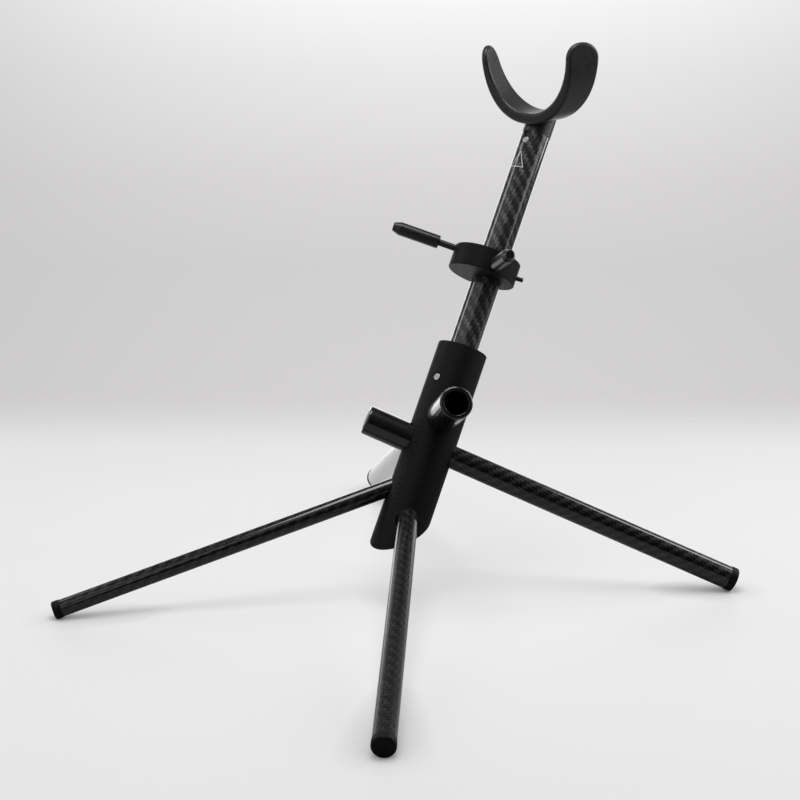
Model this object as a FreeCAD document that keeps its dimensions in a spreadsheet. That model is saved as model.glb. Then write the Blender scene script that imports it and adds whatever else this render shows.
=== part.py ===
import FreeCAD, Part
import Sketcher
import math
import os

# Take-apart saxophone stand: four plug-in tube legs, a leaning hub with a
# telescoping mast, a U cradle on top and an adjustable two-pin collar.
# Millimetres, +Z up, front of the stand towards -Y. The origin is on the
# floor, in the middle of the stand's footprint box. shiftX and shiftY say
# where the line of the mast meets the floor.

doc = FreeCAD.newDocument("SaxophoneStand")
V = FreeCAD.Vector

# ---------------------------------------------------------------- sheet ----
sheet = doc.addObject("Spreadsheet::Sheet", "Dims")
TABLE = [
    ("shiftX", 18.19), ("shiftY", -28.84),
    # hub, leaning back from the vertical
    ("lean", 29.6), ("hubRad", 21.5), ("hubTop", 230.0), ("hubLow", 66.4),
    ("hubCutAng", 46.0), ("hubBlank", 30.0), ("hubChamfer", 0.4),
    ("slideGap", 0.05),
    # mast
    ("mastRad", 12.5), ("mastWall", 1.15), ("mastLow", 184.0), ("mastHigh", 430.0),
    # cross holes and sockets: height on the mast line, azimuth, tilt
    ("crossFL", 114.5), ("azimFL", -46.3), ("tiltFL", 39.6), ("radFL", 7.2),
    ("crossFR", 88.5), ("azimFR", 46.3), ("tiltFR", 34.0), ("radFR", 8.6),
    ("crossRL", 165.7), ("azimRL", -134.2), ("tiltRL", 3.9), ("radRL", 11.25),
    ("crossRR", 141.4), ("azimRR", 134.2), ("tiltRR", 3.9), ("radRR", 10.0),
    ("legWall", 1.15), ("frontTail", 5.0),
    # outer end of each foot along its leg, from the mast line
    ("capLen", 7.0), ("capPlug", 12.0), ("capOver", 0.3), ("capRound", 2.2),
    # bow pegs on the front ends of the rear legs
    ("pegEndRL", 77.6), ("pegRadRL", 13.65), ("seatRL", 12.0),
    ("pegEndRR", 58.4), ("pegRadRR", 12.5), ("seatRR", 12.0),
    ("pegLip", 2.5), ("pegRound", 1.8), ("pegBevel", 0.8), ("seatRelief", 0.5),
    # sliding collar
    ("collarRad", 29.2), ("collarOff", 8.8), ("collarLow", 293.5), ("collarHigh", 313.2),
    ("collarChamfer", 0.6),
    ("pinOrg", 6.1), ("pinAng", 49.0), ("pinHighL", 310.6), ("pinHighR", 298.0),
    ("rodRad", 2.9), ("rodStart", 14.0), ("rodEnd", 78.0),
    ("sleeveRad", 5.8), ("sleeveStart", 45.2), ("sleeveEnd", 86.8),
    ("sleeveNose", 6.3), ("sleeveTip", 3.6),
    ("screwAng", 120.0), ("screwHigh", 303.0), ("screwRad", 2.0), ("screwEnd", 29.8),
    # steel key pin of the hub, which the slot in the mast's foot drops over
    ("keyHigh", 197.3), ("keyRad", 3.0), ("keyIn", 10.4), ("keyOut", 21.3),
    ("slotGap", 0.1),
    # steel key pin of the cradle's plug, in the slot of the mast's top end
    ("topKeyHigh", 421.2), ("topKeyRad", 3.1), ("topKeyIn", 4.0), ("topKeyOut", 12.45),
    ("spigotLow", 392.0), ("spigotStud", 7.0), ("studHigh", 441.0),
    # flat worn by the floor on each foot
    ("footFlat", 0.3),
    # U cradle
    ("cradleLean", 36.09), ("cradleTwist", 0.38), ("cradleRoll", -2.26),
    ("cradleOrgU", 42.81), ("cradleOrgV", -0.62), ("cradleOrgZ", 497.29), ("cradleWide", 29.6),
    ("cradleFrontX", 40.91), ("cradleFrontZ", 49.92), ("cradleFrontUp", -8.4),
    ("cradleBackX", 53.55), ("cradleBackZ", 66.21), ("cradleBackUp", 7.08),
    ("cradleThick", 9.25), ("cradleArm", 6.4), ("cradleFull", 2.25),
    ("cradleTip", -0.35), ("cradleTipRise", 1.24), ("cradleCorner", 14.3), ("cradleEdge", 2.6),
]
for i, (name, value) in enumerate(TABLE):
    sheet.set("A%d" % (i + 1), name)
    sheet.set("B%d" % (i + 1), repr(value))
    sheet.setAlias("B%d" % (i + 1), name)
doc.recompute()


def val(name):
    return float(getattr(sheet, name))


# length of each leg: the foot's rounded edge touches the floor
row = len(TABLE) + 1
for k in ("FL", "FR", "RL", "RR"):
    # drop per millimetre of leg, and height of the crossing point
    dropk = ("cos(tilt{0}) * cos(azim{0}) * sin(lean) * -1 + sin(tilt{0}) * cos(lean)").format(k)
    sheet.set("A%d" % row, "drop" + k)
    sheet.set("B%d" % row, "=" + dropk)
    sheet.setAlias("B%d" % row, "drop" + k)
    row += 1
    reach = ("=capRound + (footFlat + cross{0} * cos(lean) - (rad{0} + capOver - capRound) * "
             "sqrt(1 - drop{0} * drop{0}) - capRound) / drop{0}").format(k)
    sheet.set("A%d" % row, "foot" + k)
    sheet.set("B%d" % row, reach)
    sheet.setAlias("B%d" % row, "foot" + k)
    row += 1
doc.recompute()

S = "Dims."


def plane_of(body, role):
    for f in body.Origin.OriginFeatures:
        if f.Role == role:
            return f
    raise RuntimeError(role)


def sketch_poly(body, name, role, pts):
    """Closed polyline whose corners are driven by the sheet. pts holds
    (x expression, y expression) with "0" for a corner on an axis."""
    sk = body.newObject("Sketcher::SketchObject", name)
    sk.AttachmentSupport = [(plane_of(body, role), "")]
    sk.MapMode = "FlatFace"
    nums = [(calc(a), calc(b)) for a, b in pts]
    n = len(pts)
    for i in range(n):
        p, q = nums[i], nums[(i + 1) % n]
        sk.addGeometry(Part.LineSegment(V(p[0], p[1], 0), V(q[0], q[1], 0)), False)
    for i in range(n):
        sk.addConstraint(Sketcher.Constraint("Coincident", i, 2, (i + 1) % n, 1))
    for i in range(n):
        a, b = pts[i]
        x, y = nums[i]
        if a == "0":
            sk.addConstraint(Sketcher.Constraint("PointOnObject", i, 1, -2))
        else:
            c = sk.addConstraint(Sketcher.Constraint("DistanceX", -1, 1, i, 1, x))
            sk.setExpression("Constraints[%d]" % c, a)
        if b == "0":
            sk.addConstraint(Sketcher.Constraint("PointOnObject", i, 1, -1))
        else:
            c = sk.addConstraint(Sketcher.Constraint("DistanceY", -1, 1, i, 1, y))
            sk.setExpression("Constraints[%d]" % c, b)
    return sk


probe = doc.addObject("App::FeaturePython", "Probe")
probe.addProperty("App::PropertyFloat", "Value")


def calc(expr):
    """Number a sheet expression stands for."""
    if expr == "0":
        return 0.0
    probe.setExpression("Value", expr)
    probe.recompute()
    return float(probe.Value)


def turned(name, pts, role="XZ_Plane"):
    """A body of revolution about its own Z."""
    body = doc.addObject("PartDesign::Body", name)
    sk = sketch_poly(body, name + "Profile", role, pts)
    rev = body.newObject("PartDesign::Revolution", name + "Turn")
    rev.Profile = sk
    rev.ReferenceAxis = (sk, ["V_Axis"])
    rev.Angle = 360.0
    body.Tip = rev
    doc.recompute()
    return body


def edges_at(shape, rad, z, tol=1e-3):
    out = []
    for i, e in enumerate(shape.Edges):
        c = e.Curve
        if isinstance(c, Part.Circle) and abs(c.Radius - rad) < tol and abs(c.Center.z - z) < tol:
            out.append("Edge%d" % (i + 1))
    return out


def dress(body, kind, size_expr, circles, name):
    """Fillet or Chamfer on the circular edges given as (radius, z)."""
    tip = body.Tip
    names = []
    for rad, z in circles:
        found = edges_at(tip.Shape, rad, z)
        if not found:
            raise RuntimeError("no edge %s %s %s" % (name, rad, z))
        names += found
    f = body.newObject("PartDesign::" + kind, name)
    f.Base = (tip, names)
    if kind == "Fillet":
        f.Radius = calc(size_expr)
        f.setExpression("Radius", size_expr)
    else:
        f.Size = calc(size_expr)
        f.setExpression("Size", size_expr)
    body.Tip = f
    doc.recompute()
    return f


ROOT = "placement(vector(Dims.shiftX; Dims.shiftY; 0); rotation(vector(1; 0; 0); -1 * Dims.lean))"


def on_axis(zexpr):
    return ROOT + " * placement(vector(0; 0; %s); rotation(vector(0; 0; 1); 0))" % zexpr


def radial(zexpr, azexpr, offexpr, tiltexpr="0", uexpr="0"):
    """Local +Z runs outwards along azimuth azexpr (0 = front, + = right),
    tilted down by tiltexpr, starting offexpr from the point on the line."""
    return (ROOT + " * placement(vector(0; -1 * (%s); %s); rotation(vector(0; 0; 1); %s - 90))"
            " * placement(vector(0; 0; 0); rotation(vector(0; 1; 0); 90 + %s))"
            " * placement(vector(0; 0; %s); rotation(vector(0; 0; 1); 0))"
            % (uexpr, zexpr, azexpr, tiltexpr, offexpr))


def place(obj, expr):
    obj.setExpression("Placement", expr)


def cylinder(name, rexpr, hexpr, pexpr):
    c = doc.addObject("Part::Cylinder", name)
    c.setExpression("Radius", rexpr)
    c.setExpression("Height", hexpr)
    place(c, pexpr)
    return c


def cone(name, r1, r2, hexpr, pexpr):
    c = doc.addObject("Part::Cone", name)
    c.setExpression("Radius1", r1)
    c.setExpression("Radius2", r2)
    c.setExpression("Height", hexpr)
    place(c, pexpr)
    return c


def fuse(name, objs):
    f = doc.addObject("Part::MultiFuse", name)
    f.Shapes = objs
    return f


def cut(name, base, tool):
    c = doc.addObject("Part::Cut", name)
    c.Base = base
    c.Tool = tool
    return c


nodes = {}


def keep(label, obj):
    obj.Label = label
    nodes[label] = obj


# ------------------------------------------------------------------ hub ----
blank = turned("HubBlank", [
    ("0", "0"), (S + "hubRad", "0"),
    (S + "hubRad", S + "hubTop - " + S + "hubBlank - " + S + "hubChamfer"),
    (S + "hubRad - " + S + "hubChamfer", S + "hubTop - " + S + "hubBlank"),
    ("0", S + "hubTop - " + S + "hubBlank")])
place(blank, on_axis(S + "hubBlank"))
# slanted foot of the hub: a big block turned about the cross line
slab = doc.addObject("Part::Box", "HubSlant")
slab.setExpression("Length", "6 * Dims.hubRad")
slab.setExpression("Width", "6 * Dims.hubRad")
slab.setExpression("Height", "3 * Dims.hubRad")
place(slab, ROOT + " * placement(vector(0; 0; Dims.hubLow); rotation(vector(1; 0; 0); Dims.hubCutAng))"
      " * placement(vector(-3 * Dims.hubRad; -3 * Dims.hubRad; -3 * Dims.hubRad); rotation(vector(0; 0; 1); 0))")
tools = [slab]
tools.append(cylinder("MastSocket", S + "mastRad + " + S + "slideGap", S + "hubTop - " + S + "mastLow + 1",
                      on_axis(S + "mastLow")))
tools.append(cone("MastMouth", S + "mastRad + " + S + "slideGap", S + "mastRad + " + S + "slideGap + 1.2",
                  "1.2", on_axis(S + "hubTop - 1.1")))
for k in ("RL", "RR"):
    tools.append(cylinder("Cross" + k, S + "rad" + k + " + " + S + "slideGap", "4 * Dims.hubRad",
                          radial(S + "cross" + k, S + "azim" + k, "-2 * Dims.hubRad", S + "tilt" + k)))
    tools.append(cylinder("Seat" + k, S + "pegRad" + k, "Dims.hubRad",
                          radial(S + "cross" + k, S + "azim" + k, "-1 * (Dims.seat%s + Dims.hubRad)" % k,
                                 S + "tilt" + k)))
    tools.append(cylinder("Relief" + k, S + "pegRad" + k + " + " + S + "seatRelief", "Dims.hubRad",
                          radial(S + "cross" + k, S + "azim" + k, "-1 * (Dims.hubRad - 1.2 + Dims.hubRad)",
                                 S + "tilt" + k)))
for k in ("FL", "FR"):
    tools.append(cylinder("Socket" + k, S + "rad" + k + " + " + S + "slideGap", "3 * Dims.hubRad",
                          radial(S + "cross" + k, S + "azim" + k, "-1 * Dims.frontTail", S + "tilt" + k)))
    tools.append(cylinder("Mouth" + k, S + "rad" + k + " + 1.4", "2 * Dims.hubRad",
                          radial(S + "cross" + k, S + "azim" + k,
                                 "Dims.hubRad / cos(Dims.tilt%s) - 2.6" % k, S + "tilt" + k)))
tools.append(cylinder("KeyHole", S + "keyRad", "2 * Dims.hubRad",
                      radial(S + "keyHigh", "0", "8")))
tools.append(cylinder("KeyDish", S + "keyRad + 0.7", "2 * Dims.hubRad",
                      radial(S + "keyHigh", "0", "Dims.keyOut - 0.6")))
hub = cut("Hub", blank, fuse("HubTools", tools))
keep("hub", hub)

# steel key pin through the hub wall
hub_key = turned("HubKey", [
    ("0", "0"), (S + "keyRad - 0.4", "0"), (S + "keyRad", "0.4"),
    (S + "keyRad", S + "keyOut - " + S + "keyIn"), ("0", S + "keyOut - " + S + "keyIn")])
dress(hub_key, "Fillet", "0.5", [(val("keyRad"), val("keyOut") - val("keyIn"))], "HubKeyEnd")
place(hub_key, radial(S + "keyHigh", "0", S + "keyIn"))
keep("hub_key_pin", hub_key)

# ----------------------------------------------------------------- mast ----
mast_len = S + "mastHigh - " + S + "mastLow"
mast_raw = turned("MastTube", [
    (S + "mastRad - " + S + "mastWall", "0"), (S + "mastRad", "0"),
    (S + "mastRad", mast_len), (S + "mastRad - " + S + "mastWall", mast_len)])
place(mast_raw, on_axis(S + "mastLow"))


def slot_box(name, halfexpr, lowexpr, highexpr):
    bx = doc.addObject("Part::Box", name)
    bx.setExpression("Length", "2 * (%s)" % halfexpr)
    bx.setExpression("Width", "2 * Dims.mastRad")
    bx.setExpression("Height", "(%s) - (%s)" % (highexpr, lowexpr))
    place(bx, ROOT + " * placement(vector(-1 * (%s); -2 * Dims.mastRad; %s); rotation(vector(0; 0; 1); 0))"
          % (halfexpr, lowexpr))
    return bx


foot_half = S + "keyRad + " + S + "slotGap"
top_half = S + "topKeyRad + " + S + "slotGap"
mast_holes = fuse("MastSlots", [
    cylinder("FootSlotEnd", foot_half, "2 * Dims.mastRad", radial(S + "keyHigh", "0", "0")),
    slot_box("FootSlot", foot_half, S + "mastLow - 5", S + "keyHigh"),
    cylinder("TopSlotEnd", top_half, "2 * Dims.mastRad", radial(S + "topKeyHigh", "0", "0")),
    slot_box("TopSlot", top_half, S + "topKeyHigh", S + "mastHigh + 5")])
mast = cut("Mast", mast_raw, mast_holes)
keep("mast_tube", mast)

# ------------------------------------------------------------- leg tubes ----
LEG = {"FL": "leg_front_left", "FR": "leg_front_right", "RL": "leg_rear_left", "RR": "leg_rear_right"}
floor_block = doc.addObject("Part::Box", "FloorBlock")
floor_block.Length = 1200
floor_block.Width = 1200
floor_block.Height = 20
floor_block.Placement = FreeCAD.Placement(V(-600, -600, -20), FreeCAD.Rotation())
for k in ("FL", "FR", "RL", "RR"):
    if k in ("FL", "FR"):
        t0 = "-1 * Dims.frontTail"
    else:
        t0 = "-1 * (Dims.pegEnd%s - Dims.pegLip)" % k
    t1 = "Dims.foot%s - Dims.capLen" % k
    ro = S + "rad" + k
    ri = ro + " - " + S + "legWall"
    tube = turned("Tube" + k, [(ri, "0"), (ro, "0"), (ro, "(%s) - (%s)" % (t1, t0)),
                               (ri, "(%s) - (%s)" % (t1, t0))])
    place(tube, radial(S + "cross" + k, S + "azim" + k, "(" + t0 + ")", S + "tilt" + k))
    keep(LEG[k] + "_tube", tube)
    rc = ro + " + " + S + "capOver"
    cap = turned("Cap" + k, [("0", "0"), (ri, "0"), (ri, S + "capPlug"), (rc, S + "capPlug"),
                             (rc, S + "capPlug + " + S + "capLen"), ("0", S + "capPlug + " + S + "capLen")])
    dress(cap, "Fillet", S + "capRound",
          [(calc(rc), val("capPlug") + val("capLen"))], "CapRound" + k)
    dress(cap, "Fillet", "0.5 * " + S + "capOver", [(calc(rc), val("capPlug"))], "CapEdge" + k)
    place(cap, radial(S + "cross" + k, S + "azim" + k, "(%s - Dims.capPlug)" % t1, S + "tilt" + k))
    keep(LEG[k] + "_cap", cut("CapFlat" + k, cap, floor_block))

# ------------------------------------------------------------- bow pegs ----
# each peg is a socket pressed into the hub; the end of a rear leg's tube
# stops against the lip inside the peg's open end
for k, label in (("RL", "peg_right"), ("RR", "peg_left")):
    ro = S + "rad" + k + " + " + S + "slideGap"
    ri = S + "rad" + k + " - " + S + "legWall"
    rp = S + "pegRad" + k
    ln = "Dims.pegEnd%s - Dims.seat%s" % (k, k)
    peg = turned("Peg" + k, [(ro, "0"), (rp, "0"), (rp, ln), (ri, ln),
                             (ri, ln + " - " + S + "pegLip"), (ro, ln + " - " + S + "pegLip")])
    dress(peg, "Fillet", S + "pegRound", [(calc(rp), calc(ln))], "PegRound" + k)
    dress(peg, "Chamfer", S + "pegBevel", [(calc(rp), 0.0)], "PegBevel" + k)
    dress(peg, "Fillet", "0.5", [(calc(ri), calc(ln))], "PegMouth" + k)
    place(peg, radial(S + "cross" + k, S + "azim" + k + " + 180", S + "seat" + k,
                      "(-1 * Dims.tilt%s)" % k))
    keep(label, peg)

# --------------------------------------------------------------- collar ----
disc = turned("CollarDisc", [
    ("0", "0"), (S + "collarRad - " + S + "collarChamfer", "0"), (S + "collarRad", S + "collarChamfer"),
    (S + "collarRad", S + "collarHigh - " + S + "collarLow - " + S + "collarChamfer"),
    (S + "collarRad - " + S + "collarChamfer", S + "collarHigh - " + S + "collarLow"),
    ("0", S + "collarHigh - " + S + "collarLow")])
place(disc, ROOT + " * placement(vector(0; -1 * Dims.collarOff; Dims.collarLow); rotation(vector(0; 0; 1); 0))")
ctools = [cylinder("CollarBore", S + "mastRad + " + S + "slideGap", "60", on_axis(S + "collarLow - 20"))]
for side, sign, high in (("L", "-1", "pinHighL"), ("R", "1", "pinHighR")):
    az = "(%s * Dims.pinAng)" % sign
    ctools.append(cylinder("RodHole" + side, S + "rodRad", "40",
                           radial(S + high, az, S + "rodStart", "0", S + "pinOrg")))
    ctools.append(cylinder("RodDish" + side, S + "rodRad + 0.8", "20",
                           radial(S + high, az, "30.2", "0", S + "pinOrg")))
ctools.append(cylinder("ScrewHole", S + "screwRad", "40", radial(S + "screwHigh", S + "screwAng", "5")))
collar = cut("Collar", disc, fuse("CollarTools", ctools))
keep("collar", collar)

for side, label, sign, high in (("L", "left", "-1", "pinHighL"), ("R", "right", "1", "pinHighR")):
    az = "(%s * Dims.pinAng)" % sign
    rod = turned("Rod" + side, [("0", "0"), (S + "rodRad", "0"), (S + "rodRad", S + "rodEnd - " + S + "rodStart"),
                                ("0", S + "rodEnd - " + S + "rodStart")])
    place(rod, radial(S + high, az, S + "rodStart", "0", S + "pinOrg"))
    keep("pin_rod_" + label, rod)
    L = S + "sleeveEnd - " + S + "sleeveStart"
    slv = turned("Sleeve" + side, [
        (S + "rodRad", "0"), (S + "sleeveRad - 0.7", "0"), (S + "sleeveRad", "0.7"),
        (S + "sleeveRad", L + " - " + S + "sleeveNose"),
        (S + "sleeveTip", L), ("0", L),
        ("0", S + "rodEnd - " + S + "sleeveStart"), (S + "rodRad", S + "rodEnd - " + S + "sleeveStart")])
    dress(slv, "Fillet", "1.2", [(val("sleeveTip"), calc(L))], "SleeveTip" + side)
    place(slv, radial(S + high, az, S + "sleeveStart", "0", S + "pinOrg"))
    keep("pin_sleeve_" + label, slv)

# clamping screw of the collar: hex socket in its outer end
screw_pts = [("0", "0"), (S + "screwRad - 0.6", "0"), (S + "screwRad", "0.6")]
base = "Dims.screwEnd - Dims.mastRad"
for j in range(4):
    z = "(%s) - %s" % (base, 5.2 - 1.1 * j)
    screw_pts += [(S + "screwRad", z), (S + "screwRad - 0.22", z + " + 0.35"), (S + "screwRad", z + " + 0.7")]
screw_pts += [(S + "screwRad", "(%s) - 0.3" % base), (S + "screwRad - 0.3", base), ("0", base)]
screw_raw = turned("ScrewShank", screw_pts)
hexs = doc.addObject("Part::Prism", "ScrewSocket")
hexs.Polygon = 6
hexs.setExpression("Circumradius", "0.58 * Dims.screwRad")
hexs.Height = 10.0
place(hexs, "placement(vector(0; 0; %s - 2); rotation(vector(0; 0; 1); 0))" % base)
screw_pd = cut("ScrewCut", screw_raw, hexs)
place(screw_pd, radial(S + "screwHigh", S + "screwAng", S + "mastRad"))
keep("collar_screw", screw_pd)

# --------------------------------------------------- cradle and its plug ----
sp_len = S + "mastHigh - " + S + "spigotLow"
sr = "(Dims.mastRad - Dims.mastWall)"
spig_raw = turned("Spigot", [
    ("0", "0"), (sr + " - 0.6 - 0.05", "0"), (sr + " - 0.05", "0.6"), (sr + " - 0.05", sp_len),
    (S + "spigotStud", sp_len), (S + "spigotStud", S + "studHigh - " + S + "spigotLow"),
    ("0", S + "studHigh - " + S + "spigotLow")])
place(spig_raw, on_axis(S + "spigotLow"))
spig = cut("SpigotCut", spig_raw, cylinder("TopKeyHole", S + "topKeyRad", "12",
                                            radial(S + "topKeyHigh", "0", S + "topKeyIn")))
keep("cradle_plug", spig)

top_key = turned("TopKey", [
    ("0", "0"), (S + "topKeyRad", "0"), (S + "topKeyRad", S + "topKeyOut - " + S + "topKeyIn"),
    ("0", S + "topKeyOut - " + S + "topKeyIn")])
dress(top_key, "Fillet", "0.8", [(val("topKeyRad"), val("topKeyOut") - val("topKeyIn"))], "TopKeyDome")
place(top_key, radial(S + "topKeyHigh", "0", S + "topKeyIn"))
keep("cradle_key_pin", top_key)

# U cradle: a band lofted between a narrow front arch and a wide rear arch
cw = val("cradleWide")
th = val("cradleThick")
arm = val("cradleArm")


def arch(ax, az, up, y, top):
    """Closed outline of the band at depth y (y grows to the rear)."""
    def half(a, b, e, rev):
        n = 24
        p = []
        for i in range(n + 1):
            g = math.pi + math.pi * i / n
            co, si = math.cos(g), abs(math.sin(g))
            if i in (0, n):
                si = 0.0
            p.append(V(a * math.copysign(abs(co) ** (2.0 / e), co), y, up - b * si ** (2.0 / e)))
        return p[::-1] if rev else p
    outer = half(ax + arm, az + th, val("cradleFull"), False)
    inner = half(ax, az, 2.0, True)
    co = Part.BSplineCurve()
    co.interpolate(outer)
    ci = Part.BSplineCurve()
    ci.interpolate(inner)
    edges = [co.toShape(),
             Part.makeLine(outer[-1], V(outer[-1].x, y, top)),
             Part.makeLine(V(outer[-1].x, y, top), V(inner[0].x, y, top)),
             Part.makeLine(V(inner[0].x, y, top), inner[0]),
             ci.toShape(),
             Part.makeLine(inner[-1], V(inner[-1].x, y, top)),
             Part.makeLine(V(inner[-1].x, y, top), V(outer[0].x, y, top)),
             Part.makeLine(V(outer[0].x, y, top), outer[0])]
    return Part.Wire(edges)


front = arch(val("cradleFrontX"), val("cradleFrontZ"), val("cradleFrontUp"), -cw / 2.0, 26.0)
rear = arch(val("cradleBackX"), val("cradleBackZ"), val("cradleBackUp"), cw / 2.0, 26.0)
band = Part.makeLoft([front, rear], True, True)
# rounded ends of the arms, seen from the side
cc = val("cradleCorner")
tp = val("cradleTip")
h = cw / 2.0 + 0.001
rise = val("cradleTipRise")


def tip_point(y):
    over = max(0.0, abs(y) - (h - cc))
    return V(0, y, tp - rise * y / h - (cc - math.sqrt(max(0.0, cc * cc - over * over))))


crown = [h - cc + cc * math.sin(math.radians(a)) for a in (90, 80, 68, 56, 44, 32, 20, 8)]
crown = [tip_point(y) for y in crown] + [tip_point(-y) for y in crown[::-1]]
crown_curve = Part.BSplineCurve()
crown_curve.interpolate(crown)
low = -130.0
side_face = Part.Wire([
    Part.makeLine(V(0, -h, low), V(0, h, low)),
    Part.makeLine(V(0, h, low), crown[0]),
    crown_curve.toShape(),
    Part.makeLine(crown[-1], V(0, -h, low))])
prism = Part.Face(side_face)
prism.translate(V(-120, 0, 0))
prism = prism.extrude(V(240, 0, 0))
band = band.common(prism)
if band.ShapeType != "Solid":
    band = band.Solids[0]
# frame of the band: origin and lean, in the leaning frame of the mast
twist = FreeCAD.Placement(V(0, 0, 0), FreeCAD.Rotation(V(0, 0, 1), -val("cradleTwist")))
seat = twist * FreeCAD.Placement(
    V(val("cradleOrgV"), -val("cradleOrgU"), val("cradleOrgZ")),
    FreeCAD.Rotation(V(1, 0, 0), val("cradleLean")) * FreeCAD.Rotation(V(0, 1, 0), val("cradleRoll")))
band.Placement = seat
rounded = None
for rad in (val("cradleEdge"), 2.2, 1.8, 1.4, 1.0):
    try:
        es = [e for e in band.Edges if e.Length > 14.0]
        trial = band.makeFillet(rad, es)
        if trial.isValid() and trial.Volume > 0 and len(trial.Solids) == 1:
            rounded = trial.Solids[0]
            break
    except Exception:
        continue
FreeCAD.Console.PrintMessage("cradle edge radius %s\n" % (rad if rounded is not None else "none"))
if rounded is None:
    rounded = band
stem = Part.makeCylinder(val("mastRad"), 60.0, V(0, 0, val("mastHigh")), V(0, 0, 1))
# the stem ends inside the band, under its inner face
inner_cut = Part.makeBox(200, 200, 100)
bottom_in = -val("cradleFrontZ") + val("cradleFrontUp") - 3.0
inner_cut.Placement = seat * FreeCAD.Placement(V(-100, -100, bottom_in), FreeCAD.Rotation())
stem = stem.cut(inner_cut)
crad = rounded.fuse(stem)
hole = Part.makeCylinder(val("spigotStud"), val("studHigh") - val("mastHigh"), V(0, 0, val("mastHigh")), V(0, 0, 1))
crad = crad.cut(hole).removeSplitter()
crad = crad.Solids[0]
cradle = doc.addObject("Part::Feature", "Cradle")
cradle.Shape = crad
# the whole cradle leans back with the mast
cradle.Placement = FreeCAD.Placement(V(val("shiftX"), val("shiftY"), 0),
                                     FreeCAD.Rotation(V(1, 0, 0), -val("lean")))
keep("cradle", cradle)

doc.recompute()
doc.recompute()

# --------------------------------------------------------------- output ----
for o in doc.Objects:
    if "Invalid" in o.State or "Error" in o.State:
        raise RuntimeError("bad object %s %s" % (o.Label, o.State))
os.makedirs("parts", exist_ok=True)
for label in sorted(nodes):
    shp = nodes[label].Shape
    if shp.isNull() or not shp.isValid() or len(shp.Solids) < 1:
        raise RuntimeError("bad shape " + label)
    shp.exportStep("parts/%s.step" % label)
    bb = shp.BoundBox
    print("%-26s vol %9.1f solids %d  x %.1f..%.1f y %.1f..%.1f z %.2f..%.1f" % (
        label, shp.Volume, len(shp.Solids), bb.XMin, bb.XMax, bb.YMin, bb.YMax, bb.ZMin, bb.ZMax))
print("nodes", len(nodes))
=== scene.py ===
import bpy
import math
from mathutils import Vector, Matrix

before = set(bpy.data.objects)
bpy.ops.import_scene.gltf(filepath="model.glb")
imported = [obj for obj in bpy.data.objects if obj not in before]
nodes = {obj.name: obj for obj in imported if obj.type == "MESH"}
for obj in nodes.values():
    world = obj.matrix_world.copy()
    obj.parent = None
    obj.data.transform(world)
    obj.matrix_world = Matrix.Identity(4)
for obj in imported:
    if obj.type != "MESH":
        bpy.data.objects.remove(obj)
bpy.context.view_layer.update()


scene = bpy.context.scene
scene.view_settings.view_transform = "Standard"
scene.view_settings.look = "None"
scene.view_settings.exposure = 0.0
scene.view_settings.gamma = 1.0

# ---------------------------------------------------------------- frame ----
# the leaning frame of the mast, in metres: where its line meets the floor
LEAN = math.radians(29.6)
BASE = Vector((0.01819, -0.02884, 0.0))


def lean(x, y, z):
    """A direction or offset of the leaning frame, in the row frame."""
    c, s = math.cos(-LEAN), math.sin(-LEAN)
    return Vector((x, y * c - z * s, y * s + z * c))


def at(x, y, z):
    return BASE + lean(x, y, z)


MAST = lean(0, 0, 1)


def out_dir(az, tilt):
    a, t = math.radians(az), math.radians(tilt)
    return lean(math.cos(t) * math.sin(a), -math.cos(t) * math.cos(a), -math.sin(t))


LEGS = {
    "leg_front_left": (0.1145, -46.3, 39.6, 0.0072),
    "leg_front_right": (0.0885, 46.3, 34.0, 0.0086),
    "leg_rear_left": (0.1657, -134.2, 3.9, 0.01125),
    "leg_rear_right": (0.1414, 134.2, 3.9, 0.0100),
}


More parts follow.
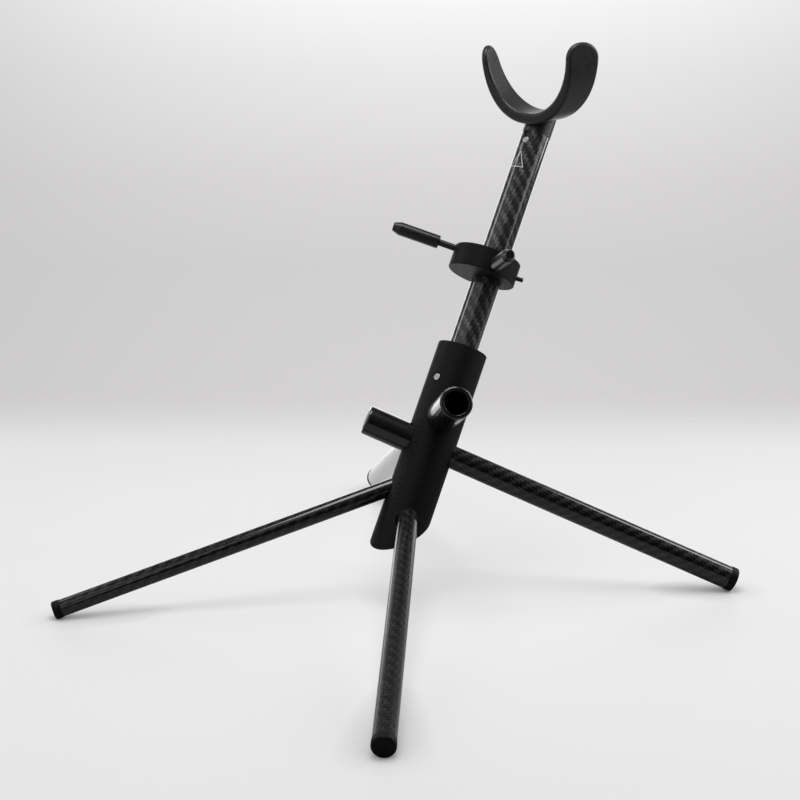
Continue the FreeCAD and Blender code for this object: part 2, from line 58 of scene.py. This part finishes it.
# ----------------------------------------------------------- node helper ----
class Nodes:
    """Small helper that writes shader nodes in the order they are used."""

    def __init__(self, name, world=None):
        if world is None:
            self.mat = bpy.data.materials.new(name)
            self.mat.use_nodes = True
            self.tree = self.mat.node_tree
        else:
            self.tree = world.node_tree
        self.tree.nodes.clear()
        self.n = 0

    def add(self, kind, **props):
        nd = self.tree.nodes.new(kind)
        nd.location = (220 * (self.n % 12), -260 * (self.n // 12))
        self.n += 1
        for k, v in props.items():
            setattr(nd, k, v)
        return nd

    def put(self, socket, value):
        if isinstance(value, bpy.types.NodeSocket):
            self.tree.links.new(value, socket)
        elif value is not None:
            socket.default_value = value

    def math(self, op, a, b=None, c=None, clamp=False):
        nd = self.add("ShaderNodeMath", operation=op, use_clamp=clamp)
        for i, v in enumerate((a, b, c)):
            if v is not None:
                self.put(nd.inputs[i], v)
        return nd.outputs[0]

    def vmath(self, op, a, b=None, scale=None):
        nd = self.add("ShaderNodeVectorMath", operation=op)
        self.put(nd.inputs[0], a)
        if b is not None:
            self.put(nd.inputs[1], b)
        if scale is not None:
            self.put(nd.inputs["Scale"], scale)
        if op in ("DOT_PRODUCT", "LENGTH", "DISTANCE"):
            return nd.outputs["Value"]
        return nd.outputs["Vector"]

    def mix(self, fac, a, b):
        nd = self.add("ShaderNodeMix", data_type="RGBA")
        self.put(nd.inputs[0], fac)
        self.put(nd.inputs[6], a)
        self.put(nd.inputs[7], b)
        return nd.outputs[2]

    def mixf(self, fac, a, b):
        nd = self.add("ShaderNodeMix", data_type="FLOAT")
        self.put(nd.inputs[0], fac)
        self.put(nd.inputs[2], a)
        self.put(nd.inputs[3], b)
        return nd.outputs[0]

    def noise(self, vec, scale, detail=3.0, rough=0.55, dist=0.0):
        nd = self.add("ShaderNodeTexNoise")
        self.put(nd.inputs["Vector"], vec)
        self.put(nd.inputs["Scale"], scale)
        self.put(nd.inputs["Detail"], detail)
        self.put(nd.inputs["Roughness"], rough)
        self.put(nd.inputs["Distortion"], dist)
        return nd.outputs["Fac"]

    def range(self, v, a, b, c=0.0, d=1.0, smooth=False):
        nd = self.add("ShaderNodeMapRange", clamp=True)
        if smooth:
            nd.interpolation_type = "SMOOTHSTEP"
        for i, x in enumerate((v, a, b, c, d)):
            self.put(nd.inputs[i], x)
        return nd.outputs[0]

    def ramp(self, v, stops):
        nd = self.add("ShaderNodeValToRGB")
        self.put(nd.inputs[0], v)
        el = nd.color_ramp.elements
        while len(el) > 1:
            el.remove(el[-1])
        el[0].position = stops[0][0]
        el[0].color = (*stops[0][1], 1)
        for p, c in stops[1:]:
            e = el.new(p)
            e.color = (*c, 1)
        return nd.outputs[0]

    def bump(self, height, strength, distance, normal=None):
        nd = self.add("ShaderNodeBump")
        self.put(nd.inputs["Strength"], strength)
        self.put(nd.inputs["Distance"], distance)
        self.put(nd.inputs["Height"], height)
        if normal is not None:
            self.put(nd.inputs["Normal"], normal)
        return nd.outputs[0]

    def obj(self):
        return self.add("ShaderNodeTexCoord").outputs["Object"]

    def grey(self, v):
        nd = self.add("ShaderNodeCombineColor")
        for i in range(3):
            self.put(nd.inputs[i], v)
        return nd.outputs[0]

    def principled(self, **inputs):
        nd = self.add("ShaderNodeBsdfPrincipled")
        for k, v in inputs.items():
            self.put(nd.inputs[k.replace("_", " ")], v)
        out = self.add("ShaderNodeOutputMaterial")
        self.tree.links.new(nd.outputs[0], out.inputs[0])
        return nd

    def edge(self, radius, low=0.02, high=0.35):
        """1 on sharp corners, 0 on flats, from the rounded normal."""
        bev = self.add("ShaderNodeBevel", samples=6)
        self.put(bev.inputs["Radius"], radius)
        geo = self.add("ShaderNodeNewGeometry")
        d = self.vmath("DOT_PRODUCT", bev.outputs[0], geo.outputs["Normal"])
        return self.range(d, 1.0 - low, 1.0 - high, 0.0, 1.0)


def tube_coords(m, base, axis):
    """Around-the-tube and along-the-tube coordinates, as (unit vector
    components across the tube, distance along it)."""
    a = axis.normalized()
    e1 = a.cross(Vector((0.3, 0.2, 1.0))).normalized()
    e2 = a.cross(e1).normalized()
    p = m.vmath("SUBTRACT", m.obj(), tuple(base))
    along = m.vmath("DOT_PRODUCT", p, tuple(a))
    x = m.vmath("DOT_PRODUCT", p, tuple(e1))
    y = m.vmath("DOT_PRODUCT", p, tuple(e2))
    return p, along, x, y


# ------------------------------------------------------------ carbon tube ----
def carbon(name, base, axis, rad, seed, gloss=0.07, tone=1.0, dark=0.0045, light=0.052, marks=False):
    """Clear-coated 2/2 twill: tows about 3 mm wide, one set along the tube
    and one set around it."""
    m = Nodes(name)
    p, along, x, y = tube_coords(m, base, axis)
    ang = m.math("ARCTAN2", y, x)
    # a whole number of four-tow repeats round the tube
    reps = max(1, round(2 * math.pi * rad / 0.0114))
    tow = 2 * math.pi * rad / (reps * 4)
    # the weave wanders a little, as hand-laid cloth does
    wob = m.math("MULTIPLY", m.math("SUBTRACT", m.noise(p, 28.0, 1.0), 0.5), 1.1)
    u0 = m.math("DIVIDE", m.math("MULTIPLY", ang, rad), tow)
    v0 = m.math("DIVIDE", along, tow)
    u = m.math("ADD", m.math("ADD", u0, wob), 400.0 + seed)
    v = m.math("ADD", m.math("ADD", v0, wob), 400.0)
    iu, iv = m.math("FLOOR", u), m.math("FLOOR", v)
    fu, fv = m.math("FRACT", u), m.math("FRACT", v)
    k = m.math("FLOORED_MODULO", m.math("ADD", iu, iv), 4.0)
    warp = m.math("LESS_THAN", k, 1.5)          # tow along the tube on top
    k2 = m.math("FLOORED_MODULO", k, 2.0)
    # across the tow and along its float, both 0..1
    across = m.mixf(warp, fv, fu)
    run = m.math("MULTIPLY", m.math("ADD", k2, m.mixf(warp, fu, fv)), 0.5)
    crown = m.math("SUBTRACT", 1.0, m.math("POWER", m.math("ABSOLUTE", m.math("SUBTRACT", m.math("MULTIPLY", across, 2.0), 1.0)), 2.4))
    arc = m.math("POWER", m.math("SINE", m.math("MULTIPLY", run, math.pi)), 0.55)
    height = m.math("MULTIPLY", crown, arc)
    # fibres inside a tow: fine streaks along the tow
    su = m.math("MULTIPLY", m.mixf(warp, v0, u0), 11.0)
    sv = m.math("MULTIPLY", m.mixf(warp, u0, v0), 0.35)
    comb = m.add("ShaderNodeCombineXYZ")
    m.put(comb.inputs[0], su)
    m.put(comb.inputs[1], sv)
    m.put(comb.inputs[2], m.math("MULTIPLY", warp, 7.3))
    fibre = m.noise(comb.outputs[0], 1.6, 2.0, 0.7)
    # tone per tow
    cell = m.add("ShaderNodeCombineXYZ")
    m.put(cell.inputs[0], m.mixf(warp, iv, iu))
    m.put(cell.inputs[1], m.math("MULTIPLY", warp, 31.0))
    m.put(cell.inputs[2], float(seed))
    wn = m.add("ShaderNodeTexWhiteNoise", noise_dimensions="3D")
    m.put(wn.inputs["Vector"], cell.outputs[0])
    towtone = m.range(wn.outputs["Value"], 0, 1, 0.82, 1.18)
    low = m.range(m.noise(p, 60.0, 2.0), 0.3, 0.7, 0.86, 1.12)
    blotch = m.add("ShaderNodeTexWhiteNoise", noise_dimensions="3D")
    patch = m.add("ShaderNodeCombineXYZ")
    m.put(patch.inputs[0], m.math("FLOOR", m.math("DIVIDE", u, 2.0)))
    m.put(patch.inputs[1], m.math("FLOOR", m.math("DIVIDE", v, 2.0)))
    m.put(patch.inputs[2], warp)
    m.put(blotch.inputs["Vector"], patch.outputs[0])
    # painted light: tows along the tube take the dark tone and tows round it the light tone, standing in for how the
    # two sets catch the light
    lum = m.math("MULTIPLY", m.mixf(warp, dark * tone, light * tone), towtone)
    lum = m.math("MULTIPLY", lum, m.range(blotch.outputs["Value"], 0, 1, 0.65, 1.35))
    lum = m.math("MULTIPLY", lum, m.range(fibre, 0.25, 0.75, 0.72, 1.28))
    # painted shade: darker where a tow dips at its edges and under the crossing tow
    lum = m.math("MULTIPLY", lum, m.range(height, 0.0, 0.8, 0.45, 1.0))
    lum = m.math("MULTIPLY", lum, low)
    col = m.add("ShaderNodeCombineColor")
    m.put(col.inputs[0], m.math("MULTIPLY", lum, 1.06))
    m.put(col.inputs[1], lum)
    m.put(col.inputs[2], m.math("MULTIPLY", lum, 0.97))
    color = col.outputs[0]
    metal = m.mixf(warp, 0.15, 0.3)
    if marks:
        # a plain printed triangle below the slot, one thin white line
        xx = m.vmath("DOT_PRODUCT", p, (1, 0, 0))
        ff = m.vmath("DOT_PRODUCT", p, tuple(lean(0, -1, 0)))
        t = m.math("ABSOLUTE", m.math("MULTIPLY", m.math("ARCTAN2", xx, ff), rad))
        s = m.math("ADD", along, 0.184)

        def inside(lo, hi, half):
            side = m.math("MULTIPLY", m.math("SUBTRACT", hi, s), half / (hi - lo))
            return m.math("MULTIPLY", m.range(m.math("SUBTRACT", side, t), -0.00006, 0.00006),
                          m.range(m.math("SUBTRACT", s, lo), -0.00006, 0.00006))

        line = m.math("SUBTRACT", inside(0.3955, 0.4105, 0.0068), inside(0.39625, 0.4090, 0.0056), clamp=True)
        line = m.math("MULTIPLY", line, m.range(m.noise(p, 1500.0, 2.0), 0.3, 0.42, 0.6, 1.0))
        color = m.mix(line, color, (0.62, 0.62, 0.61, 1))
        metal = m.math("MULTIPLY", metal, m.math("SUBTRACT", 1.0, line))
    coat_rough = m.range(m.noise(p, 900.0, 2.0), 0.35, 0.75, gloss, gloss + 0.05)
    bumped = m.bump(m.math("ADD", m.math("MULTIPLY", height, 1.0), m.math("MULTIPLY", fibre, 0.12)), 0.55, 0.00022)
    coat_n = m.bump(m.noise(p, 420.0, 2.0), 0.05, 0.0004)
    # tangent along the fibres: the tube's own direction, or round it
    geo = m.add("ShaderNodeNewGeometry")
    a = axis.normalized()
    hoop = m.vmath("CROSS_PRODUCT", tuple(a), geo.outputs["Normal"])
    tang = m.vmath("NORMALIZE", m.vmath("ADD", m.vmath("SCALE", tuple(a), scale=warp),
                                        m.vmath("SCALE", hoop, scale=m.math("SUBTRACT", 1.0, warp))))
    bsdf = m.principled(Base_Color=color, Metallic=metal, Roughness=m.range(fibre, 0.2, 0.8, 0.34, 0.46),
                        Normal=bumped, Coat_Weight=1.0, Coat_Roughness=coat_rough, Coat_IOR=1.52, Coat_Normal=coat_n)
    m.put(bsdf.inputs["Anisotropic"], 0.6)
    m.put(bsdf.inputs["Specular IOR Level"], 0.12)
    m.put(bsdf.inputs["Tangent"], tang)
    return m.mat


# -------------------------------------------------------- moulded plastic ----
def moulded(name, lum, rough, grain=1.0, tint=(1.0, 1.0, 1.02), ticks=False, shine=0.36):
    m = Nodes(name)
    o = m.obj()
    fine = m.noise(o, 2600.0, 2.0, 0.6)
    mid = m.noise(o, 420.0, 3.0, 0.6)
    big = m.noise(o, 34.0, 3.0, 0.6)
    edge = m.edge(0.0007)
    l1 = m.math("MULTIPLY", lum, m.range(big, 0.3, 0.7, 0.86, 1.16))
    l1 = m.math("MULTIPLY", l1, m.range(mid, 0.3, 0.7, 0.92, 1.08))
    l1 = m.math("MULTIPLY", l1, m.range(fine, 0.3, 0.7, 0.82, 1.2))
    # painted highlight: the colour is lightened on sharp edges, in patches, where light would catch them
    l1 = m.math("ADD", l1, m.math("MULTIPLY", m.math("MULTIPLY", edge, m.range(mid, 0.42, 0.62)), lum * 1.1))
    col = m.add("ShaderNodeCombineColor")
    for i in range(3):
        m.put(col.inputs[i], m.math("MULTIPLY", l1, tint[i]))
    r = m.range(mid, 0.3, 0.7, rough - 0.05, rough + 0.06)
    r = m.math("SUBTRACT", r, m.math("MULTIPLY", edge, 0.12))
    h = m.math("ADD", m.math("MULTIPLY", fine, 0.6 * grain), m.math("MULTIPLY", mid, 0.5 * grain))
    nrm = m.bump(h, 0.35, 0.00012)
    if ticks:
        # a plain row of raised dashes along the hub, left of its front
        p = m.vmath("SUBTRACT", o, tuple(BASE))
        s = m.vmath("DOT_PRODUCT", p, tuple(MAST))
        xx = m.vmath("DOT_PRODUCT", p, (1, 0, 0))
        ff = m.vmath("DOT_PRODUCT", p, tuple(lean(0, -1, 0)))
        arc = m.math("MULTIPLY", m.math("ARCTAN2", xx, ff), 0.0215)
        d = m.math("ABSOLUTE", m.math("SUBTRACT", arc, -0.0005))
        wide = m.range(d, 0.0024, 0.0029, 1.0, 0.0)
        cyc = m.math("FRACT", m.math("DIVIDE", s, 0.0046))
        bar = m.range(m.math("ABSOLUTE", m.math("SUBTRACT", cyc, 0.5)), 0.17, 0.24, 1.0, 0.0)
        span = m.math("MULTIPLY", m.range(s, 0.0840, 0.0845), m.range(s, 0.1580, 0.1585, 1.0, 0.0))
        tick = m.math("MULTIPLY", m.math("MULTIPLY", wide, bar), span)
        nrm = m.bump(tick, 1.0, 0.0008, nrm)
        l1 = m.math("MULTIPLY", l1, m.range(tick, 0.0, 1.0, 1.0, 2.8))
        for i in range(3):
            m.put(col.inputs[i], m.math("MULTIPLY", l1, tint[i]))
    m.principled(Base_Color=col.outputs[0], Roughness=r, Normal=nrm, Specular_IOR_Level=shine)
    return m.mat


# ---------------------------------------------------------------- rubber ----
def rubber(name, lum, rough, tint=(0.98, 1.0, 1.03), bump=0.25, sheen=0.0, dimple=None, shine=0.45):
    m = Nodes(name)
    o = m.obj()
    fine = m.noise(o, 3400.0, 2.0, 0.6)
    mid = m.noise(o, 260.0, 4.0, 0.62)
    big = m.noise(o, 22.0, 3.0, 0.55, 0.4)
    edge = m.edge(0.0012)
    l1 = m.math("MULTIPLY", lum, m.range(big, 0.3, 0.7, 0.88, 1.14))
    l1 = m.math("MULTIPLY", l1, m.range(mid, 0.3, 0.7, 0.93, 1.09))
    l1 = m.math("MULTIPLY", l1, m.range(fine, 0.3, 0.7, 0.9, 1.12))
    dust = m.range(m.noise(o, 1500.0, 1.0), 0.72, 0.80)
    l1 = m.math("ADD", l1, m.math("MULTIPLY", dust, 0.035))
    # painted highlight: the colour is lightened on sharp edges
    l1 = m.math("ADD", l1, m.math("MULTIPLY", edge, lum * 0.35))
    col = m.add("ShaderNodeCombineColor")
    for i in range(3):
        m.put(col.inputs[i], m.math("MULTIPLY", l1, tint[i]))
    r = m.range(mid, 0.3, 0.7, rough - 0.05, rough + 0.07)
    h = m.math("ADD", m.math("MULTIPLY", fine, 0.5), m.math("MULTIPLY", mid, 0.8))
    nrm = m.bump(h, bump, 0.00010)
    if dimple is not None:
        # the small moulding mark in the middle of the cap's end
        _, along, x, y = tube_coords(m, *dimple)
        rr = m.math("SQRT", m.math("ADD", m.math("MULTIPLY", x, x), m.math("MULTIPLY", y, y)))
        pit = m.range(rr, 0.0009, 0.0013, 1.0, 0.0, smooth=True)
        ring = m.range(m.math("ABSOLUTE", m.math("SUBTRACT", rr, 0.0034)), 0.0002, 0.0005, 1.0, 0.0, smooth=True)
        nrm = m.bump(m.math("ADD", pit, m.math("MULTIPLY", ring, 0.25)), -0.9, 0.0006, nrm)
    m.principled(Base_Color=col.outputs[0], Roughness=r, Normal=nrm, Specular_IOR_Level=shine,
                 Sheen_Weight=sheen, Sheen_Roughness=0.5)
    return m.mat


# ----------------------------------------------------------- gloss plastic ----
def gloss(name, lum, rough, coat=0.0, scuff=1.0):
    m = Nodes(name)
    o = m.obj()
    peel = m.noise(o, 240.0, 2.0, 0.5)
    fine = m.noise(o, 2400.0, 2.0, 0.6)
    smear = m.noise(m.vmath("MULTIPLY", o, (1.0, 1.6, 1.0)), 46.0, 4.0, 0.65, 0.8)
    edge = m.edge(0.0009)
    scratch = m.range(m.noise(m.vmath("MULTIPLY", o, (300, 2200, 900)), 1.0, 3.0, 0.7), 0.66, 0.72)
    l1 = m.math("MULTIPLY", lum, m.range(smear, 0.3, 0.7, 0.88, 1.15))
    # painted highlight: the colour is lightened on sharp edges
    l1 = m.math("ADD", l1, m.math("MULTIPLY", edge, lum * 0.8))
    col = m.grey(l1)
    r = m.range(smear, 0.35, 0.75, rough, rough + 0.09)
    r = m.math("ADD", r, m.math("MULTIPLY", scratch, 0.12 * scuff))
    h = m.math("ADD", m.math("MULTIPLY", peel, 0.9), m.math("MULTIPLY", fine, 0.05))
    nrm = m.bump(h, 0.10 * scuff, 0.00035)
    m.principled(Base_Color=col, Roughness=r, Normal=nrm, Specular_IOR_Level=0.5, Coat_Weight=coat,
                 Coat_Roughness=0.06)
    return m.mat


# ----------------------------------------------------------------- steel ----
def steel(name, base, axis, lum=0.62, rough=0.16):
    m = Nodes(name)
    p, along, x, y = tube_coords(m, base, axis)
    rr = m.math("SQRT", m.math("ADD", m.math("MULTIPLY", x, x), m.math("MULTIPLY", y, y)))
    lathe = m.math("SINE", m.math("MULTIPLY", rr, 52000.0))
    cloud = m.noise(p, 900.0, 3.0)
    l1 = m.math("MULTIPLY", lum, m.range(cloud, 0.3, 0.7, 0.9, 1.08))
    nrm = m.bump(m.math("ADD", lathe, cloud), 0.12, 0.00002)
    m.principled(Base_Color=m.grey(l1), Metallic=1.0, Roughness=m.range(cloud, 0.3, 0.7, rough, rough + 0.1), Normal=nrm)
    return m.mat


def give(node, mat):
    for slot in nodes[node].material_slots:
        slot.material = mat


# painted shade: the front legs get a darker tone than the rear legs for how lit they look; all four are the same
# carbon tube
for leg, (s, az, tilt, rad) in LEGS.items():
    give(leg + "_tube", carbon("twill_" + leg, at(0, 0, s), out_dir(az, tilt), rad, len(leg), tone={"leg_front_right": 0.3, "leg_front_left": 0.36}.get(leg, 0.52), dark=0.003))
    give(leg + "_cap", rubber("foot_rubber_" + leg, 0.0014, 0.52, shine=0.16, dimple=(at(0, 0, s), out_dir(az, tilt))))
give("mast_tube", carbon("twill_mast", at(0, 0, 0.184), MAST, 0.0125, 3, tone=1.85, dark=0.0125, light=0.041, marks=True))
give("hub", moulded("hub_black", 0.0022, 0.56, ticks=True, shine=0.17))
give("collar", moulded("collar_black", 0.0026, 0.52, shine=0.15))
give("cradle", rubber("cradle_charcoal", 0.014, 0.38, tint=(1.0, 1.0, 1.04), sheen=0.02))
give("cradle_plug", moulded("plug_black", 0.0045, 0.5))
for side in ("left", "right"):
    give("peg_" + side, gloss("peg_gloss_" + side, 0.003, 0.2, coat=0.65))
    give("pin_sleeve_" + side, gloss("sleeve_gloss_" + side, 0.004, 0.3, scuff=0.1))
    give("pin_rod_" + side, gloss("rod_black_" + side, 0.008, 0.34))
give("collar_screw", gloss("screw_black", 0.004, 0.36))
front = lean(0, -1, 0)
give("hub_key_pin", steel("steel_hub_key", at(0, 0, 0.1973), front, 0.5, 0.34))
give("cradle_key_pin", steel("steel_top_key", at(0, 0, 0.4212), front, 0.42, 0.3))

# ---------------------------------------------------------------- stage ----
CAM = Vector((0.91701 + 0.01819, -1.02468 - 0.02884, 0.49228))
VIEW_AZ = 40.95
RIGHT = Vector((math.cos(math.radians(VIEW_AZ)), math.sin(math.radians(VIEW_AZ)), 0))
BACK = Vector((-RIGHT.y, RIGHT.x, 0))          # away from the camera, level
MID = Vector((0.02, 0.03, 0.2))

import bmesh
bm = bmesh.new()
R0 = 3.2
rings = 48
centre = bm.verts.new((0, 0, 0))
prev = None
for rr in (0.4, 0.8, 1.2, 1.8, R0):
    loop = [bm.verts.new((rr * math.cos(2 * math.pi * i / rings), rr * math.sin(2 * math.pi * i / rings), 0)) for i in range(rings)]
    for i in range(rings):
        j = (i + 1) % rings
        if prev is None:
            bm.faces.new((centre, loop[i], loop[j]))
        else:
            bm.faces.new((prev[i], loop[i], loop[j], prev[j]))
    prev = loop
me = bpy.data.meshes.new("floor")
bm.to_mesh(me)
bm.free()
floor = bpy.data.objects.new("floor", me)
scene.collection.objects.link(floor)
floor.location = (MID.x, MID.y, 0.0)
m = Nodes("floor_white")
o = m.obj()
dist = m.vmath("LENGTH", o)
speck = m.noise(o, 700.0, 3.0)
cloud = m.noise(o, 3.0, 2.0)
lumf = m.math("MULTIPLY", m.range(speck, 0.3, 0.7, 0.985, 1.01), m.range(cloud, 0.3, 0.7, 0.99, 1.01))
colf = m.add("ShaderNodeCombineColor")
for i, t in enumerate((0.910, 0.898, 0.905)):
    m.put(colf.inputs[i], m.math("MULTIPLY", lumf, t))
bs = m.add("ShaderNodeBsdfPrincipled")
m.put(bs.inputs["Base Color"], m.vmath("SCALE", colf.outputs[0], scale=0.37))
m.put(bs.inputs["Roughness"], 0.55)
m.put(bs.inputs["Specular IOR Level"], 0.2)
glow = m.add("ShaderNodeEmission")
m.put(glow.inputs[0], colf.outputs[0])
# painted contact shadow: the floor's glow is dimmed by ambient occlusion near the parts, and the glow is brighter
# towards the middle as a painted pool of light
painted_contact_shadow = m.add("ShaderNodeAmbientOcclusion", samples=8)
m.put(painted_contact_shadow.inputs["Distance"], 0.028)
m.put(glow.inputs[1], m.math("MULTIPLY", m.range(dist, 0.15, 0.75, 0.53, 0.455), painted_contact_shadow.outputs["AO"]))
dim = m.add("ShaderNodeBsdfDiffuse")
m.put(dim.inputs[0], (0.34, 0.335, 0.34, 1))
two = m.add("ShaderNodeAddShader")
m.tree.links.new(bs.outputs[0], two.inputs[0])
m.tree.links.new(glow.outputs[0], two.inputs[1])
behind = m.math("MULTIPLY", m.range(m.vmath("DOT_PRODUCT", o, tuple(BACK)), 0.12, 0.26, smooth=True),
                m.range(m.vmath("DOT_PRODUCT", o, tuple(RIGHT)), 0.10, -0.02, smooth=True))
bright = m.add("ShaderNodeEmission")
m.put(bright.inputs[0], (0.98, 0.965, 0.975, 1))
m.put(bright.inputs[1], m.math("MULTIPLY", behind, 0.88))
dimb = m.add("ShaderNodeAddShader")
m.tree.links.new(dim.outputs[0], dimb.inputs[0])
m.tree.links.new(bright.outputs[0], dimb.inputs[1])
seenf = m.add("ShaderNodeMixShader")
m.put(seenf.inputs[0], m.add("ShaderNodeLightPath").outputs["Is Camera Ray"])
m.tree.links.new(dimb.outputs[0], seenf.inputs[1])
m.tree.links.new(two.outputs[0], seenf.inputs[2])
clear = m.add("ShaderNodeBsdfTransparent")
mixs = m.add("ShaderNodeMixShader")
back = m.vmath("DOT_PRODUCT", o, tuple(BACK))
fade = m.math("MAXIMUM", m.range(back, 0.46, 0.78, 0.0, 1.0, smooth=True), m.range(dist, 1.0, 1.7, 0.0, 1.0, smooth=True))
m.put(mixs.inputs[0], fade)
m.tree.links.new(seenf.outputs[0], mixs.inputs[1])
m.tree.links.new(clear.outputs[0], mixs.inputs[2])
outp = m.add("ShaderNodeOutputMaterial")
m.tree.links.new(mixs.outputs[0], outp.inputs[0])
me.materials.append(m.mat)

# white surroundings: pale to the eye, dim on the side of the camera so that
# glossy black keeps its depth
world = bpy.data.worlds.new("tent")
scene.world = world
world.use_nodes = True
w = Nodes("tent", world)
direction = w.add("ShaderNodeTexCoord").outputs["Generated"]
sep = w.add("ShaderNodeSeparateXYZ")
w.put(sep.inputs[0], direction)
elev = w.math("ARCSINE", sep.outputs[2])
seen = w.ramp(w.range(elev, -0.40, 0.20), [
    (0.0, (0.80, 0.785, 0.79)),
    (0.22, (0.72, 0.705, 0.712)),
    (0.27, (0.662, 0.648, 0.655)),
    (0.42, (0.645, 0.632, 0.640)),
    (0.50, (0.70, 0.685, 0.692)),
    (0.60, (0.83, 0.815, 0.822)),
    (0.667, (0.955, 0.94, 0.948)),
    (1.0, (0.99, 0.985, 0.988))])
across = w.math("SUBTRACT", w.vmath("DOT_PRODUCT", direction, tuple(RIGHT)), 0.03)
drop = w.math("MULTIPLY", w.math("MULTIPLY", across, across), 3.6)
drop = w.math("MULTIPLY", w.math("MINIMUM", drop, 0.22), w.range(elev, -0.15, 0.0, 0.3, 1.0))
seen = w.vmath("SCALE", seen, scale=w.math("SUBTRACT", 1.0, drop))
side = w.vmath("DOT_PRODUCT", direction, tuple(BACK))      # 1 behind the object
away = w.range(side, 0.79, 0.95, 0.0, 1.8, smooth=True)      # the bright sweep behind
lowb = w.range(sep.outputs[2], 0.25, 0.6, 1.0, 0.15, smooth=True)
around = w.range(side, -0.6, 0.6, 0.012, 0.055, smooth=True)
upper = w.range(sep.outputs[2], 0.1, 0.9, 0.0, 0.07, smooth=True)
lit = w.grey(w.math("ADD", w.math("ADD", around, upper), w.math("MULTIPLY", away, lowb)))
path = w.add("ShaderNodeLightPath")
both = w.mix(path.outputs["Is Camera Ray"], lit, seen)
bg = w.add("ShaderNodeBackground")
w.put(bg.inputs[0], both)
w.put(bg.inputs[1], 1.0)
wo = w.add("ShaderNodeOutputWorld")
w.tree.links.new(bg.outputs[0], wo.inputs[0])


def softbox(name, where, size, power, target=MID, size_y=None):
    d = bpy.data.lights.new(name, "AREA")
    d.shape = "RECTANGLE"
    d.size = size
    d.size_y = size_y or size
    d.energy = power
    ob = bpy.data.objects.new(name, d)
    scene.collection.objects.link(ob)
    ob.location = where
    ob.rotation_euler = (target - where).to_track_quat("-Z", "Y").to_euler()
    ob.visible_camera = False
    return ob


softbox("strip_left", MID - RIGHT * 1.0 + BACK * 0.42 + Vector((0, 0, 0.45)), 0.30, 3.2, size_y=1.0)
softbox("strip_right", MID + RIGHT * 1.0 + BACK * 0.42 + Vector((0, 0, 0.45)), 0.30, 5.0, size_y=1.0)
softbox("panel_left", MID - RIGHT * 0.88 - BACK * 0.68 + Vector((0, 0, 0.50)), 1.4, 3.5)
softbox("panel_right", MID + RIGHT * 1.2 - BACK * 0.1 + Vector((0, 0, 0.50)), 0.7, 3.0)
softbox("strip_front", MID - RIGHT * 0.20 - BACK * 1.05 + Vector((0, 0, 0.55)), 0.05, 0.45, size_y=1.2)
softbox("box_top", MID - BACK * 0.12 + Vector((0, 0, 1.5)), 0.9, 17.0)

cam_data = bpy.data.cameras.new("camera")
cam_data.sensor_width = 36.0
cam_data.lens = 78.75
cam_data.clip_start = 0.05
cam_data.clip_end = 50
camera = bpy.data.objects.new("camera", cam_data)
scene.collection.objects.link(camera)
camera.location = CAM
camera.rotation_euler = (math.radians(90 - 12.968), 0.0, math.radians(VIEW_AZ))
scene.camera = camera
